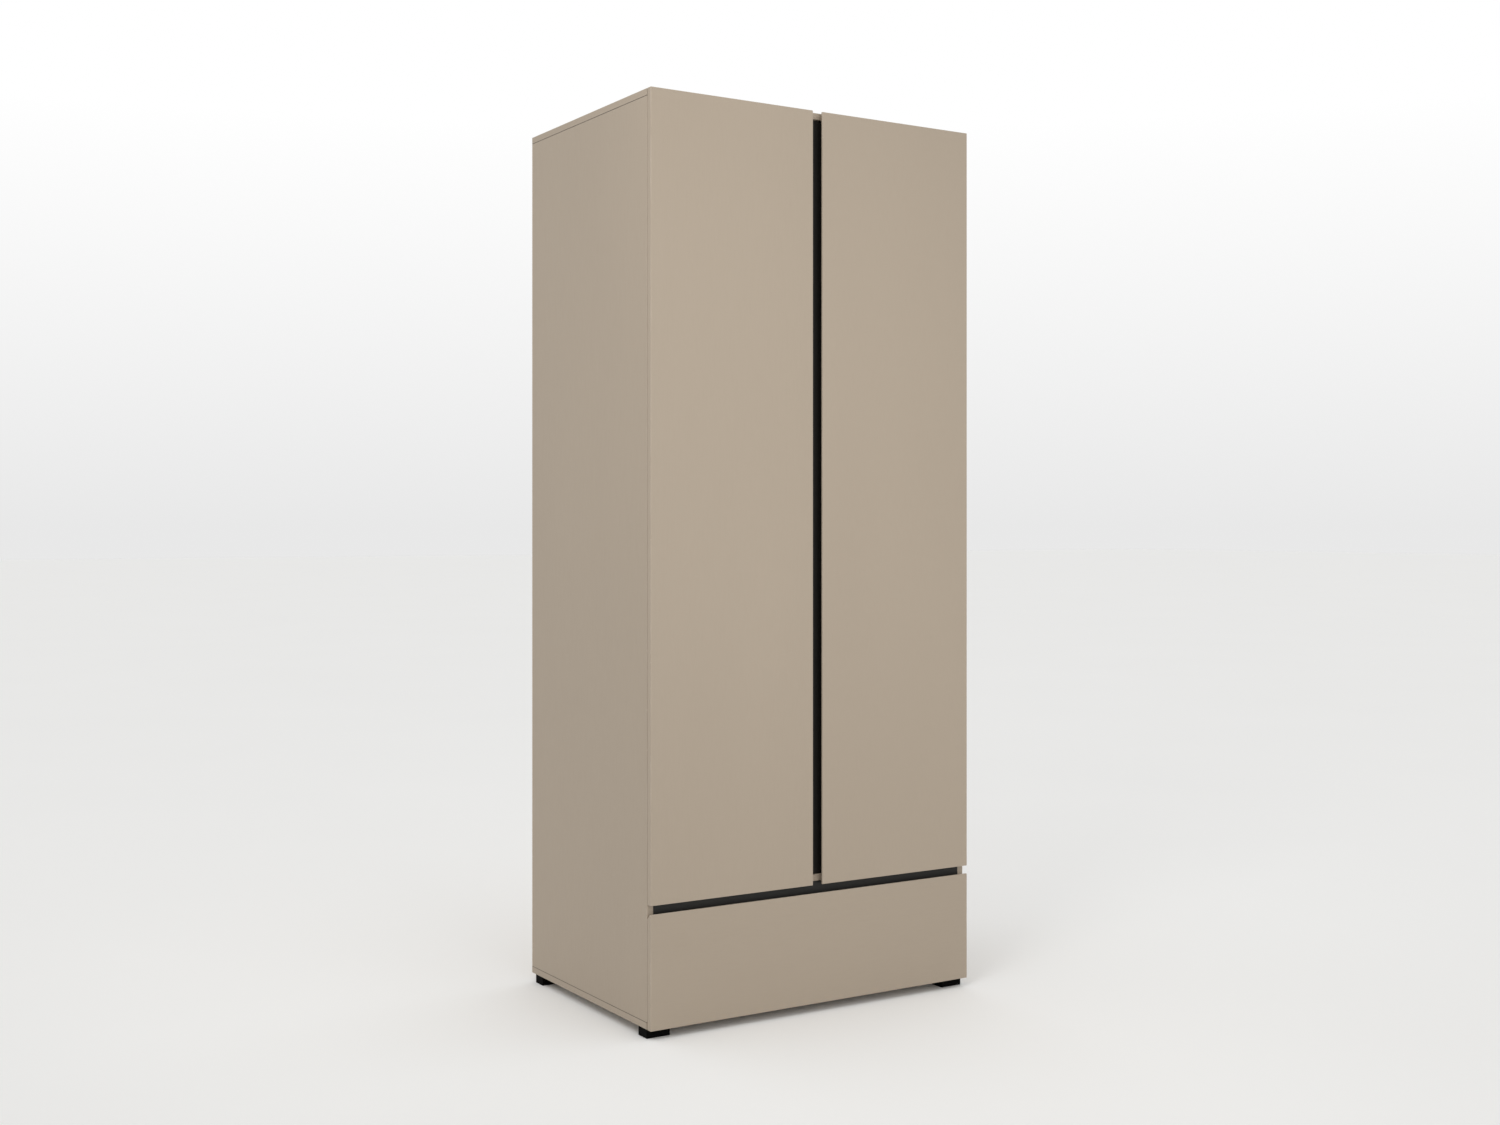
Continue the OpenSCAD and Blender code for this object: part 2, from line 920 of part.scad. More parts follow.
module left_door() {
    difference() {
        translate([0, 0, door_z]) linear_extrude(door_h) polygon([
            [-side_x, door_front_y],
            [-side_x + door_w, door_front_y],
            [-side_x + door_w, door_front_y + grip_land],
            [-side_x + door_w - grip_bevel, door_back_y],
            [-side_x, door_back_y]
        ]);
        hinge_places() hinge_cup_cut();
    }
}

module left_bumpers() {
    for (z = [mid_z + board_t / 2, ceiling_z + board_t / 2])
        translate([-centre_gap / 2 - bumper_inset, door_back_y, z])
            rotate([-90, 0, 0]) rod(bumper_d, 0, bumper_t);
}

module door_left() {
    color(taupe) left_door();
}

module door_right() {
    color(taupe) mirror([1, 0, 0]) left_door();
}

module hinge_cups_left() {
    color(nickel) hinge_places() hinge_cup();
}

module hinge_cups_right() {
    color(nickel) mirror([1, 0, 0]) hinge_places() hinge_cup();
}

module hinge_cup_screws_left() {
    color(nickel) hinge_places() hinge_cup_screws();
}

module hinge_cup_screws_right() {
    color(nickel) mirror([1, 0, 0]) hinge_places() hinge_cup_screws();
}

module door_bumpers_left() {
    color(clear_soft) left_bumpers();
}

module door_bumpers_right() {
    color(clear_soft) mirror([1, 0, 0]) left_bumpers();
}

// ---------- drawer ----------

module bottom_groove() {
    block([-box_x + board_t - groove_depth, door_back_y - groove_depth, box_bottom_z],
          [box_x - board_t + groove_depth, box_rear_y + over,
           box_bottom_z + back_t + groove_clearance]);
}

module drawer_front() {
    color(taupe) difference() {
        translate([-side_x, 0, 0]) rotate([90, 0, 90]) linear_extrude(body_w) polygon([
            [door_front_y, foot_h],
            [door_back_y, foot_h],
            [door_back_y, drawer_top_z - grip_bevel],
            [door_front_y + grip_land, drawer_top_z],
            [door_front_y, drawer_top_z]
        ]);
        bottom_groove();
        drawer_joints("face cut");
    }
}

module left_drawer_side() {
    difference() {
        block([-box_x, door_back_y, box_z], [-box_x + board_t, box_rear_y, box_top_z]);
        bottom_groove();
        drawer_joints("edge cut");
        drawer_back_joints("face cut");
        runner_slide_screw_places() rod(runner_screw_d, 0, runner_screw_l);
    }
}

module drawer_side_left() {
    color(taupe) left_drawer_side();
}

module drawer_side_right() {
    color(taupe) mirror([1, 0, 0]) left_drawer_side();
}

module drawer_back() {
    color(taupe) difference() {
        block([-box_x + board_t, box_rear_y - board_t, box_bottom_z + back_t + groove_clearance],
              [box_x - board_t, box_rear_y, box_top_z]);
        drawer_back_joints("edge cut");
    }
}

module drawer_bottom() {
    color(fibreboard) block([-bottom_half_w, bottom_front_y, box_bottom_z],
                            [bottom_half_w, box_rear_y, box_bottom_z + back_t]);
}

module runner_middle_left() {
    color(zinc) left_runner_middle();
}

module runner_middle_right() {
    color(zinc) mirror([1, 0, 0]) left_runner_middle();
}

module runner_slide_left() {
    color(zinc) left_runner_slide();
}

module runner_slide_right() {
    color(zinc) mirror([1, 0, 0]) left_runner_slide();
}

module runner_slide_screws() {
    color(zinc) both_sides() runner_slide_screw_places() runner_screw();
}

module drawer_cams() {
    color(zinc) drawer_joints("cam");
}

module drawer_cam_bolts() {
    color(zinc) drawer_joints("bolt");
}

module drawer_dowels() {
    color(beech) {
        drawer_joints("dowel");
        drawer_back_joints("dowel");
    }
}

module drawer_bumpers() {
    color(clear_soft) both_sides()
        translate([-inner_x + bumper_inset, door_back_y, foot_h + board_t / 2])
            rotate([-90, 0, 0]) rod(bumper_d, 0, bumper_t);
}

// ---------- every node ----------

side_panel_left();
side_panel_right();
top_panel();
bottom_panel();
mid_panel();
partition();
centre_strip();
grip_rail();
hat_shelf();
shelf(1);  // shelf_1
shelf(2);  // shelf_2
shelf(3);  // shelf_3
shelf(4);  // shelf_4
shelf_pins();
hanging_rail();
rail_sockets();
rail_socket_screws();
back_panel_left();
back_panel_right();
back_panel_lower();
back_nails();
foot(-1, foot_ys[0]);  // foot_front_left
foot(1, foot_ys[0]);  // foot_front_right
foot(-1, foot_ys[1]);  // foot_rear_left
foot(1, foot_ys[1]);  // foot_rear_right
foot_screws();
cam_locks();
cam_bolts();
dowels();
hinge_plates();
hinge_plate_screws();
hinge_arms();
hinge_arm_screws();
runner_rail_left();
runner_rail_right();
runner_rail_screws();
wall_brackets();
wall_bracket_screws();
door_left();
hinge_cups_left();
hinge_cup_screws_left();
door_bumpers_left();
door_right();
hinge_cups_right();
hinge_cup_screws_right();
door_bumpers_right();
runner_middle_left();
runner_middle_right();
drawer_front();
drawer_side_left();
drawer_side_right();
drawer_back();
drawer_bottom();
runner_slide_left();
runner_slide_right();
runner_slide_screws();
drawer_cams();
drawer_cam_bolts();
drawer_dowels();
drawer_bumpers();
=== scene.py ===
import json
import math

import bmesh
import bpy
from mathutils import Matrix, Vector

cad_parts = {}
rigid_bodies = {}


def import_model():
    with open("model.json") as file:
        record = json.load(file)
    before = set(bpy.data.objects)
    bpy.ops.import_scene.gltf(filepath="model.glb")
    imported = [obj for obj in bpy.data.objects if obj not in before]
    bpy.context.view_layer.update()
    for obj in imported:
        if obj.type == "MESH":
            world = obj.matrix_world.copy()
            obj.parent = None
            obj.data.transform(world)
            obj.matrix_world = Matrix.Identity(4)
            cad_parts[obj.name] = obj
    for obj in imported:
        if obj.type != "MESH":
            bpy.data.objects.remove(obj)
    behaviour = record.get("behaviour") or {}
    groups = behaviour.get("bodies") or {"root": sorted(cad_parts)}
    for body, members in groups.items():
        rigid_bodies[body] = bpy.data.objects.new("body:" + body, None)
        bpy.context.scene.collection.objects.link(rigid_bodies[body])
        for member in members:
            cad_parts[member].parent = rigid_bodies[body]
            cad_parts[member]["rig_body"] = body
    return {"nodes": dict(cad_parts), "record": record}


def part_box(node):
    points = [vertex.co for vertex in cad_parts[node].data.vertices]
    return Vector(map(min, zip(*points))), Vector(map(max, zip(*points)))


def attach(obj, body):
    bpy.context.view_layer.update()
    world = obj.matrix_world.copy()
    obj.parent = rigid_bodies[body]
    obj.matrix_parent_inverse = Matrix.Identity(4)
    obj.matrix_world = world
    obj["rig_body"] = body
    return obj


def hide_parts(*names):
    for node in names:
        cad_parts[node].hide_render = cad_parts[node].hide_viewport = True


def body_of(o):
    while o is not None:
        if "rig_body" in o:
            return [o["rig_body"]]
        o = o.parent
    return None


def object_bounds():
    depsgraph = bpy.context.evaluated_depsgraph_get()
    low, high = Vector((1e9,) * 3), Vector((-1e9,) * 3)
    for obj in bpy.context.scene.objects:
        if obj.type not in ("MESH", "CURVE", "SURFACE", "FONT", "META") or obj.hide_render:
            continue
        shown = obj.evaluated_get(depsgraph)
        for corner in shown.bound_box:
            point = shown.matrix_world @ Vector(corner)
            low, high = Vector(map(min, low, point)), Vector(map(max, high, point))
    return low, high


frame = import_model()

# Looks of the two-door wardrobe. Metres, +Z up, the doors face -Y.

cad_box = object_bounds()

# ---------- colours, linear ----------

TAUPE = (0.378, 0.312, 0.2415)
# paler edge tone: wear on the rounded edges, and a painted highlight along them
TAUPE_WEAR_AND_HIGHLIGHT = (0.490, 0.418, 0.338)
BLACK_BOARD = (0.0120, 0.0112, 0.0092)
# paler edge tone of the black boards: wear and a painted highlight along the rounded edges
BLACK_WEAR_AND_HIGHLIGHT = (0.030, 0.029, 0.027)
FIBRE_DARK = (0.300, 0.215, 0.140)
FIBRE_LIGHT = (0.440, 0.335, 0.235)
FIBRE_CUT = (0.520, 0.410, 0.290)
MOULDED = (0.0022, 0.0020, 0.0019)
NICKEL = (0.720, 0.695, 0.655)
ZINC = (0.560, 0.575, 0.600)
CHROME = (0.780, 0.785, 0.790)
BEECH_DARK = (0.430, 0.270, 0.145)
BEECH_LIGHT = (0.640, 0.455, 0.285)
CLEAR_SOFT = (0.800, 0.825, 0.830)

# ---------- roundings ----------

BOARD_ROUND = 0.0009
SHEET_ROUND = 0.0003
METAL_ROUND = 0.0002
MOULDED_ROUND = 0.0015

BOARD_SEGMENTS = 3
METAL_SEGMENTS = 2

# vertices nearer than this are one, faces flatter than FLAT_ANGLE are one, and edges sharper than
# SHARP_ANGLE are rounded
SAME_PLACE = 0.00001
FLAT_ANGLE = math.radians(1.0)
SHARP_ANGLE = math.radians(40.0)

# ---------- shader helpers ----------


def new_material(name):
    """An empty material; returns it with its node tree and its Principled shader."""
    material = bpy.data.materials.new(name)
    material.use_nodes = True
    return material, material.node_tree, material.node_tree.nodes["Principled BSDF"]


def add(tree, kind, inputs=None, **settings):
    """Adds a shader node. inputs maps a socket to its value or to the output that feeds it."""
    node = tree.nodes.new("ShaderNode" + kind)
    for key, value in settings.items():
        setattr(node, key, value)
    for socket, value in (inputs or {}).items():
        if isinstance(value, bpy.types.NodeSocket):
            tree.links.new(value, node.inputs[socket])
        else:
            node.inputs[socket].default_value = value
    return node


def piece_coordinates(tree):
    """Object coordinates in metres, moved by an amount of its own on every piece."""
    own = add(tree, "ObjectInfo").outputs["Random"]
    shift = add(tree, "VectorMath", {0: own, 3: 7.0}, operation="SCALE")
    place = add(tree, "TexCoord").outputs["Object"]
    return add(tree, "VectorMath", {0: place, 1: shift.outputs[0]}, operation="ADD").outputs[0]


def noise(tree, place, repeats, detail=2.0, rough=0.5):
    """Noise from 0 to 1 with so many repeats per metre along X, Y and Z."""
    scaled = add(tree, "Mapping", {"Vector": place, "Scale": repeats})
    pattern = add(tree, "TexNoise", {"Vector": scaled.outputs[0], "Scale": 1.0, "Detail": detail,
                                     "Roughness": rough})
    return pattern.outputs["Fac"]


def remap(tree, value, low, high, to_low, to_high):
    """Moves the range low..high of a value to to_low..to_high, and clamps it."""
    node = add(tree, "MapRange", {"Value": value, "From Min": low, "From Max": high,
                                  "To Min": to_low, "To Max": to_high})
    return node.outputs["Result"]


def blend(tree, factor, first, second):
    """Mixes two colours by a factor from 0 to 1."""
    node = add(tree, "Mix", {0: factor}, data_type="RGBA")
    for socket, colour in ((6, first), (7, second)):
        if isinstance(colour, bpy.types.NodeSocket):
            tree.links.new(colour, node.inputs[socket])
        else:
            node.inputs[socket].default_value = (*colour, 1.0)
    return node.outputs[2]


def math_node(tree, operation, first, second):
    return add(tree, "Math", {0: first, 1: second}, operation=operation).outputs[0]


def shaded(colour, share):
    """The colour made lighter or darker by a share of itself."""
    return tuple(min(1.0, channel * (1.0 + share)) for channel in colour)


def bump(tree, shader, height, depth, strength=1.0):
    """Relief of the given depth in metres on the shader's normal."""
    relief = add(tree, "Bump", {"Height": height, "Distance": depth, "Strength": strength})
    tree.links.new(relief.outputs["Normal"], shader.inputs["Normal"])


def along(axis, slow, fast):
    """Repeats per metre: slow along the axis, fast across it."""
    return tuple(slow if i == axis else fast for i in range(3))


# ---------- materials ----------


def laminate(name, tone, axis):
    """Smooth matt laminate with fine pores along one axis and a faint cloudy tone."""
    material, tree, shader = new_material(name)
    place = piece_coordinates(tree)
    pores = noise(tree, place, along(axis, 24.0, 900.0), detail=3.0, rough=0.6)
    clouds = noise(tree, place, along(axis, 0.9, 2.2), detail=3.0)
    grains = noise(tree, place, (1600.0,) * 3, detail=1.0)
    clouded = blend(tree, remap(tree, clouds, 0.3, 0.7, 0.0, 1.0), shaded(tone, -0.02), shaded(tone, 0.02))
    fine = blend(tree, remap(tree, pores, 0.25, 0.55, 0.11, 0.0), clouded, shaded(tone, -0.22))
    tree.links.new(fine, shader.inputs["Base Color"])
    tree.links.new(remap(tree, pores, 0.3, 0.7, 0.56, 0.44), shader.inputs["Roughness"])
    relief = math_node(tree, "ADD", pores, math_node(tree, "MULTIPLY", grains, 0.6))
    bump(tree, shader, relief, 0.00004, 0.6)
    shader.inputs["Specular IOR Level"].default_value = 0.35
    return material


# painted shade: how much darker than its board the rounded edge is in the crease where two boards meet
SEAM_PAINTED_SHADE = -0.62


def near_height(tree, place, height, reach):
    """1 within reach of a height in metres, and 0 beyond twice the reach."""
    level = add(tree, "SeparateXYZ", {0: place}).outputs["Z"]
    away = math_node(tree, "ABSOLUTE", math_node(tree, "SUBTRACT", level, height), 0.0)
    return remap(tree, away, reach, 2.0 * reach, 1.0, 0.0)


def edge_band(name, tone, wear_and_highlight, seams=()):
    """Rounded edge of a board: the same tone, paler in places from wear and a painted highlight, with small
    knocks.
    At the heights in seams, where two boards meet, a dark hairline of painted shade darkens the crease."""
    material, tree, shader = new_material(name)
    place = piece_coordinates(tree)
    rub_and_highlight_noise = noise(tree, place, (9.0,) * 3, detail=4.0, rough=0.6)
    knocks = noise(tree, place, (120.0,) * 3, detail=2.0)
    # wear and painted highlight: the rounded edge turns paler in patches
    pale = blend(tree, remap(tree, rub_and_highlight_noise, 0.42, 0.68, 0.1, 0.75), shaded(tone, 0.02), wear_and_highlight)
    colour = blend(tree, remap(tree, knocks, 0.66, 0.74, 0.0, 0.6), pale, shaded(wear_and_highlight, 0.18))
    own_place = add(tree, "TexCoord").outputs["Object"]
    # painted shade: the edge rounding is darkened in the crease at each seam height
    for height in seams:
        seam_shade_mask = near_height(tree, own_place, height, BOARD_ROUND)
        colour = blend(tree, seam_shade_mask, colour, shaded(tone, SEAM_PAINTED_SHADE))
    tree.links.new(colour, shader.inputs["Base Color"])
    tree.links.new(remap(tree, rub_and_highlight_noise, 0.35, 0.7, 0.5, 0.32), shader.inputs["Roughness"])
    bump(tree, shader, knocks, 0.00008, 0.5)
    shader.inputs["Specular IOR Level"].default_value = 0.4
    return material


def fibreboard(name, dark, light):
    """Thin hard fibreboard: matted fibres under a matt lacquer."""
    material, tree, shader = new_material(name)
    place = piece_coordinates(tree)
    fibres = noise(tree, place, (520.0,) * 3, detail=5.0, rough=0.7)
    flecks = noise(tree, place, (150.0, 150.0, 90.0), detail=3.0, rough=0.6)
    clouds = noise(tree, place, (2.5,) * 3, detail=3.0)
    base = blend(tree, remap(tree, fibres, 0.3, 0.7, 0.0, 1.0), dark, light)
    flecked = blend(tree, remap(tree, flecks, 0.6, 0.72, 0.0, 0.45), base, shaded(dark, -0.3))
    tinted = blend(tree, remap(tree, clouds, 0.3, 0.7, 0.0, 0.25), flecked, shaded(light, 0.08))
    tree.links.new(tinted, shader.inputs["Base Color"])
    tree.links.new(remap(tree, fibres, 0.3, 0.7, 0.78, 0.6), shader.inputs["Roughness"])
    bump(tree, shader, fibres, 0.0001, 0.6)
    shader.inputs["Specular IOR Level"].default_value = 0.3
    return material


def moulded_plastic(name, tone):
    """Black moulded plastic with a fine spark-eroded grain and dull scuffs."""
    material, tree, shader = new_material(name)
    place = piece_coordinates(tree)
    grain = noise(tree, place, (1400.0,) * 3, detail=2.0)
    scuffs = noise(tree, place, (60.0, 60.0, 240.0), detail=4.0, rough=0.65)
    scuffed = remap(tree, scuffs, 0.55, 0.75, 0.0, 0.5)
    tree.links.new(blend(tree, scuffed, tone, shaded(tone, 2.0)), shader.inputs["Base Color"])
    tree.links.new(remap(tree, scuffs, 0.3, 0.7, 0.60, 0.80), shader.inputs["Roughness"])
    bump(tree, shader, grain, 0.00006, 0.5)
    shader.inputs["Specular IOR Level"].default_value = 0.04
    return material


def plated_steel(name, tone, rough, brushed_axis, stain):
    """Plated pressed steel: rolling marks along one axis, faint stains, tiny pits."""
    material, tree, shader = new_material(name)
    place = piece_coordinates(tree)
    rolling = noise(tree, place, along(brushed_axis, 40.0, 1500.0), detail=3.0, rough=0.6)
    stains = noise(tree, place, (45.0,) * 3, detail=4.0, rough=0.6)
    pits = noise(tree, place, (800.0,) * 3, detail=1.0)
    stained = blend(tree, remap(tree, stains, 0.35, 0.7, 0.0, 1.0), tone, stain)
    lined = blend(tree, remap(tree, rolling, 0.3, 0.7, 0.16, 0.0), stained, shaded(tone, -0.25))
    tree.links.new(lined, shader.inputs["Base Color"])
    tree.links.new(remap(tree, rolling, 0.25, 0.75, rough - 0.05, rough + 0.07), shader.inputs["Roughness"])
    relief = math_node(tree, "ADD", rolling, math_node(tree, "MULTIPLY", pits, 0.4))
    bump(tree, shader, relief, 0.000004, 0.5)
    shader.inputs["Metallic"].default_value = 1.0
    return material


def chromed(name, tone):
    """Polished chrome with fine rub marks from hangers."""
    material, tree, shader = new_material(name)
    place = piece_coordinates(tree)
    rubs = noise(tree, place, (14.0, 900.0, 900.0), detail=4.0, rough=0.65)
    haze = noise(tree, place, (20.0,) * 3, detail=3.0)
    tree.links.new(blend(tree, remap(tree, rubs, 0.55, 0.75, 0.0, 0.5), tone, shaded(tone, -0.25)),
                   shader.inputs["Base Color"])
    tree.links.new(remap(tree, haze, 0.3, 0.7, 0.07, 0.2), shader.inputs["Roughness"])
    bump(tree, shader, rubs, 0.00001, 0.4)
    shader.inputs["Metallic"].default_value = 1.0
    return material


def raw_beech(name, dark, light):
    """Raw beech with short brown rays along the grain."""
    material, tree, shader = new_material(name)
    place = piece_coordinates(tree)
    grain = noise(tree, place, (260.0, 900.0, 900.0), detail=4.0, rough=0.6)
    rays = noise(tree, place, (400.0, 2200.0, 2200.0), detail=2.0)
    wood = blend(tree, remap(tree, grain, 0.3, 0.7, 0.0, 1.0), light, dark)
    rayed = blend(tree, remap(tree, rays, 0.6, 0.7, 0.0, 0.6), wood, shaded(dark, -0.3))
    tree.links.new(rayed, shader.inputs["Base Color"])
    tree.links.new(remap(tree, grain, 0.3, 0.7, 0.75, 0.6), shader.inputs["Roughness"])
    bump(tree, shader, grain, 0.0001, 0.5)
    return material


def clear_bumper(name, tone):
    """Soft clear plastic, a little milky, with a dusty surface."""
    material, tree, shader = new_material(name)
    place = piece_coordinates(tree)
    dust = noise(tree, place, (700.0,) * 3, detail=3.0, rough=0.6)
    tree.links.new(blend(tree, remap(tree, dust, 0.4, 0.75, 0.0, 0.6), tone, shaded(tone, -0.18)),
                   shader.inputs["Base Color"])
    tree.links.new(remap(tree, dust, 0.3, 0.7, 0.16, 0.34), shader.inputs["Roughness"])
    bump(tree, shader, dust, 0.00003, 0.4)
    shader.inputs["Transmission Weight"].default_value = 0.55
    shader.inputs["IOR"].default_value = 1.47
    return material


def studio_floor(name, tone):
    """Pale, almost even floor with a trace of texture."""
    material, tree, shader = new_material(name)
    place = add(tree, "TexCoord").outputs["Object"]
    clouds = noise(tree, place, (0.8,) * 3, detail=3.0)
    clouded = blend(tree, clouds, shaded(tone, -0.01), shaded(tone, 0.01))
    tree.links.new(clouded, shader.inputs["Base Color"])
    tree.links.new(remap(tree, clouds, 0.3, 0.7, 0.85, 0.95), shader.inputs["Roughness"])
    shader.inputs["Specular IOR Level"].default_value = 0.1
    return material


# ---------- finishing the CAD nodes ----------


def longest_axis(node):
    low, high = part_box(node)
    size = high - low
    return max(range(3), key=lambda axis: size[axis])


def make_bare_group():
    """Geometry nodes that drop the corner normals of a mesh, which don't fit once its faces are joined."""
    group = bpy.data.node_groups.new("bare_normals", "GeometryNodeTree")
    for side in ("INPUT", "OUTPUT"):
        group.interface.new_socket("Geometry", in_out=side, socket_type="NodeSocketGeometry")
    geometry = group.nodes.new("NodeGroupInput").outputs[0]
    for attribute in ("custom_normal", "sharp_edge"):
        drop = group.nodes.new("GeometryNodeRemoveAttribute")
        drop.inputs["Name"].default_value = attribute
        group.links.new(geometry, drop.inputs[0])
        geometry = drop.outputs[0]
    smooth = group.nodes.new("GeometryNodeSetShadeSmooth")
    group.links.new(geometry, smooth.inputs[0])
    group.links.new(smooth.outputs[0], group.nodes.new("NodeGroupOutput").inputs[0])
    return group


bare_group = make_bare_group()


def round_edges(piece, width, edge_slot=None, segments=BOARD_SEGMENTS):
    """Joins the faces of a piece again, then rounds its sharp edges."""
    bare = piece.modifiers.new("bare", "NODES")
    bare.node_group = bare_group
    joined = piece.modifiers.new("join", "WELD")
    joined.merge_threshold = SAME_PLACE
    flat = piece.modifiers.new("flat", "DECIMATE")
    flat.decimate_type = "DISSOLVE"
    flat.angle_limit = FLAT_ANGLE
    rounded = piece.modifiers.new("round", "BEVEL")
    rounded.width = width
    rounded.segments = segments
    rounded.limit_method = "ANGLE"
    rounded.angle_limit = SHARP_ANGLE
    rounded.use_clamp_overlap = False
    rounded.loop_slide = False
    rounded.harden_normals = True
    if edge_slot is not None:
        rounded.material = edge_slot


def dress(piece, *materials):
    piece.data.materials.clear()
    for material in materials:
        piece.data.materials.append(material)


taupe = {axis: laminate("taupe_laminate_" + "xyz"[axis], TAUPE, axis) for axis in range(3)}
seam_heights = (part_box("bottom_panel")[1].z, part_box("top_panel")[0].z)
taupe_edge = edge_band("taupe_edge", TAUPE, TAUPE_WEAR_AND_HIGHLIGHT)
# the carcass edges carry painted shade at the seams between boards
taupe_edge_seam_shade = edge_band("taupe_edge_seam_shade", TAUPE, TAUPE_WEAR_AND_HIGHLIGHT, seam_heights)
black = {axis: laminate("black_laminate_" + "xyz"[axis], BLACK_BOARD, axis) for axis in (0, 2)}
black_edge = edge_band("black_edge", BLACK_BOARD, BLACK_WEAR_AND_HIGHLIGHT)
fibre = fibreboard("hdf_board", FIBRE_DARK, FIBRE_LIGHT)
fibre_edge = fibreboard("hdf_edge", FIBRE_LIGHT, FIBRE_CUT)
foot_plastic = moulded_plastic("black_plastic", MOULDED)
nickel = plated_steel("nickel_steel", NICKEL, 0.36, 1, shaded(NICKEL, -0.14))
zinc = plated_steel("zinc_steel", ZINC, 0.38, 1, (0.60, 0.585, 0.520))
chrome = chromed("chromed_tube", CHROME)
beech = raw_beech("beech", BEECH_DARK, BEECH_LIGHT)
bumper_soft = clear_bumper("clear_bumper", CLEAR_SOFT)

# slots whose pieces look the same on their faces and on their edges
plain_looks = {"black_plastic": foot_plastic, "nickel_steel": nickel, "zinc_steel": zinc,
               "chromed_tube": chrome, "beech": beech, "clear_bumper": bumper_soft}

# pressed sheet metal, whose cut edges are a little round
SHEET_METAL = ("hinge_plates", "hinge_arms", "hinge_cups_left", "hinge_cups_right", "rail_sockets",
               "wall_brackets", "runner_rail_left", "runner_rail_right", "runner_middle_left",
               "runner_middle_right", "runner_slide_left", "runner_slide_right")


def finish_board(piece, face, edge, width):
    """Gives a board its face and edge materials and rounds its edges."""
    dress(piece, face, edge)
    round_edges(piece, width, edge_slot=1)


def finish_node(name, slot):
    """Gives a CAD node the looks of its material slot. Only the boards of the carcass meet in seams, where
    their edges get painted shade.
    """
    piece = frame["nodes"][name]
    if slot == "taupe_laminate":
        edge = taupe_edge_seam_shade if body_of(piece) == ["carcass"] else taupe_edge
        finish_board(piece, taupe[longest_axis(name)], edge, BOARD_ROUND)
    elif slot == "black_laminate":
        finish_board(piece, black[longest_axis(name)], black_edge, BOARD_ROUND)
    elif slot == "hdf_board":
        finish_board(piece, fibre, fibre_edge, SHEET_ROUND)
    else:
        dress(piece, plain_looks[slot])
    if slot == "black_plastic":
        round_edges(piece, MOULDED_ROUND)
    if name in SHEET_METAL:
        round_edges(piece, METAL_ROUND, segments=METAL_SEGMENTS)


for part in frame["record"]["subparts"]:
    finish_node(part["node"], part["material_slot"])

# ---------- pieces that stand for simpler CAD nodes ----------


def reached_from(start, left):
    """The vertices joined to start by edges; takes them out of the set left."""
    reached, fresh = [start], [start]
    while fresh:
        vertex = fresh.pop()
        for edge in vertex.link_edges:
            other = edge.other_vert(vertex)
            if other in left:
                left.remove(other)
                reached.append(other)
                fresh.append(other)
    return reached


def solids_of(node):
    """The lowest and highest corner of each separate solid of a CAD node, from left to right and up."""
    shape = bmesh.new()
    shape.from_mesh(frame["nodes"][node].data)
    bmesh.ops.remove_doubles(shape, verts=shape.verts, dist=SAME_PLACE)
    left, corners = set(shape.verts), []
    while left:
        places = [vertex.co for vertex in reached_from(left.pop(), left)]
        low, high = (Vector([pick(place[i] for place in places) for i in range(3)]) for pick in (min, max))
        corners.append((low, high))
    shape.free()
    return sorted(corners, key=lambda pair: (round(pair[0].x, 3), round(pair[0].z, 3)))


def finished(name, shape, material, body, node):
    """Makes an object of a bmesh and lets it ride on a body in place of a CAD node."""
    mesh = bpy.data.meshes.new(name)
    for face in shape.faces:
        face.smooth = True
    shape.to_mesh(mesh)
    shape.free()
    piece = bpy.data.objects.new(name, mesh)
    bpy.context.scene.collection.objects.link(piece)
    dress(piece, material)
    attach(piece, body)
    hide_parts(node)
    return piece


def loft(shape, rings, closed):
    """Faces between rings of vertices, one after another."""
    for ring, following in zip(rings, rings[1:]):
        count = len(ring)
        for i in range(count if closed else count - 1):
            j = (i + 1) % count
            shape.faces.new((ring[i], ring[j], following[j], following[i]))


BUMPER_SIDES = 32
BUMPER_RINGS = 7
BUMPER_FLANGE = 0.0006
# shares of a bumper's radius at the foot of its dome and at the upper and lower rim of its flange
BUMPER_DOME_SHARE = 0.9
BUMPER_RIM_SHARE = 0.97
# below 1, the dome is fuller than a half ball
BUMPER_FULLNESS = 0.7


def bumper_outline(radius, height):
    """Radius and height of each ring of a bumper: a thin flange with a dome on it."""
    dome = radius * BUMPER_DOME_SHARE
    rim = radius * BUMPER_RIM_SHARE
    rings = [(rim, 0.0), (radius, BUMPER_FLANGE / 2), (rim, BUMPER_FLANGE)]
    for i in range(BUMPER_RINGS):
        turn = math.radians(90.0) * i / BUMPER_RINGS
        across = dome * math.cos(turn) ** BUMPER_FULLNESS
        rings.append((across, BUMPER_FLANGE + (height - BUMPER_FLANGE) * math.sin(turn)))
    return rings


def add_bumper(shape, low, high):
    """A soft dome on the back of a front, from the face at low.y."""
    centre = (low + high) / 2
    rings = []
    for radius, height in bumper_outline((high.x - low.x) / 2, high.y - low.y):
        ring = []
        for i in range(BUMPER_SIDES):
            turn = math.tau * i / BUMPER_SIDES
            place = (centre.x + radius * math.cos(turn), low.y + height, centre.z + radius * math.sin(turn))
            ring.append(shape.verts.new(place))
        rings.append(ring)
    loft(shape, rings, closed=True)
    shape.faces.new(rings[0])
    top = shape.verts.new((centre.x, high.y, centre.z))
    for i, vertex in enumerate(rings[-1]):
        shape.faces.new((vertex, rings[-1][(i + 1) % BUMPER_SIDES], top))


